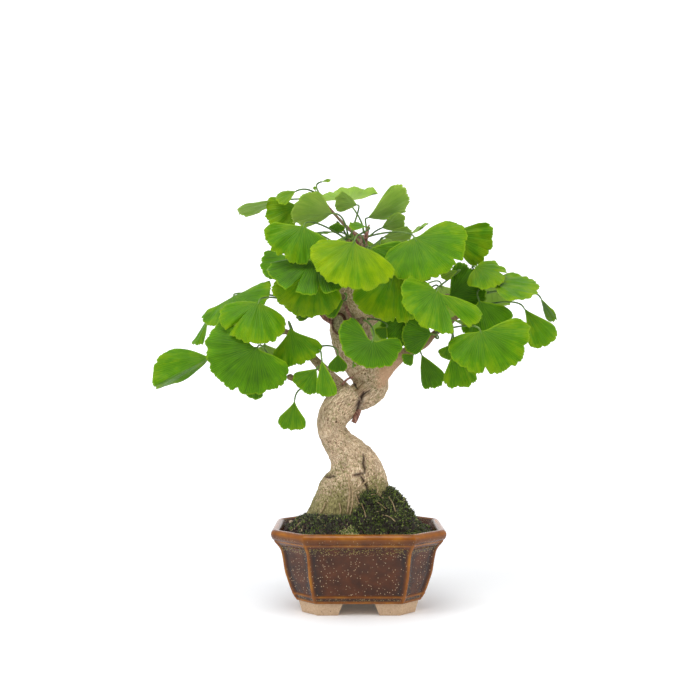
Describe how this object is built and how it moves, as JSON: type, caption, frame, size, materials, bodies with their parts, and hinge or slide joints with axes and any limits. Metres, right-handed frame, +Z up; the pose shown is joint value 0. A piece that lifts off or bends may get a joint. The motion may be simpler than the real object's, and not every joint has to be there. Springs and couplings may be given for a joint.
{
  "type": "ginkgo bonsai tree",
  "caption": "Small ginkgo bonsai with a bent trunk and fan-shaped green leaves, planted in soil with a cushion of moss in a dark brown glazed octagonal pot on corner feet.",
  "frame": {"origin": "on the surface that the pot's feet stand on, below the middle of the whole tree's box", "axes": "+X to the right of the tree's front, +Y to the back, +Z up"},
  "size_m": [0.299, 0.147, 0.3207],
  "materials": {
    "glazed_stoneware": "dark brown glaze with amber edges; bare buff clay on the feet",
    "bonsai_soil": "damp dark brown soil grains",
    "moss": "dark green-black moss",
    "ginkgo_bark": "beige fibrous bark with moss and lichen",
    "black_plastic_mesh": "black moulded mesh",
    "ginkgo_leaf": "satin green leaf with a thin pale margin"
  },
  "bodies": {
    "root": {"pot": "glazed_stoneware", "soil": "bonsai_soil", "moss_mound": "moss", "trunk": "ginkgo_bark", "drainage_mesh_left": "black_plastic_mesh", "drainage_mesh_right": "black_plastic_mesh", "leaf_far_left": "ginkgo_leaf", "leaf_left_curled": "ginkgo_leaf", "leaf_left_upper": "ginkgo_leaf", "leaf_left_two_lobed": "ginkgo_leaf", "leaf_left_big": "ginkgo_leaf", "leaf_left_hanging": "ginkgo_leaf", "leaf_left_round": "ginkgo_leaf", "leaf_left_oval": "ginkgo_leaf", "leaf_left_wedge": "ginkgo_leaf", "leaf_centre_left_low": "ginkgo_leaf", "leaf_three_lobed": "ginkgo_leaf", "leaf_left_behind": "ginkgo_leaf", "leaf_yellow_left": "ginkgo_leaf", "leaf_top_left_round": "ginkgo_leaf", "leaf_top_left_small": "ginkgo_leaf", "leaf_top_far_left": "ginkgo_leaf", "leaf_top_lifted": "ginkgo_leaf", "leaf_top_young": "ginkgo_leaf", "leaf_top_back": "ginkgo_leaf", "leaf_top_low_lobe": "ginkgo_leaf", "leaf_top_rolled": "ginkgo_leaf", "leaf_leader_small": "ginkgo_leaf", "leaf_centre_bright": "ginkgo_leaf", "leaf_centre_behind": "ginkgo_leaf", "leaf_right_bright": "ginkgo_leaf", "leaf_right_top": "ginkgo_leaf", "leaf_right_notched": "ginkgo_leaf", "leaf_far_right": "ginkgo_leaf", "leaf_far_right_edge": "ginkgo_leaf", "leaf_far_right_low": "ginkgo_leaf", "leaf_right_big_low": "ginkgo_leaf", "leaf_right_behind_low": "ginkgo_leaf", "leaf_right_two_lobed": "ginkgo_leaf", "leaf_right_dark": "ginkgo_leaf", "leaf_centre_low": "ginkgo_leaf", "leaf_trunk_front": "ginkgo_leaf", "leaf_centre_right_low": "ginkgo_leaf", "leaf_right_folded": "ginkgo_leaf", "leaf_right_hanging_inner": "ginkgo_leaf", "leaf_right_hanging": "ginkgo_leaf", "leaf_top_right_small": "ginkgo_leaf", "leaf_back_left": "ginkgo_leaf", "leaf_back_centre_left": "ginkgo_leaf", "leaf_back_centre_right": "ginkgo_leaf", "leaf_back_right": "ginkgo_leaf", "leaf_back_far_right": "ginkgo_leaf", "leaf_back_top": "ginkgo_leaf", "leaf_back_top_left": "ginkgo_leaf", "leaf_back_top_right": "ginkgo_leaf", "leaf_back_low": "ginkgo_leaf", "leaf_back_centre": "ginkgo_leaf", "leaf_back_far_left": "ginkgo_leaf", "leaf_back_right_low": "ginkgo_leaf", "leaf_back_left_low": "ginkgo_leaf"}
  },
  "joints": []
}
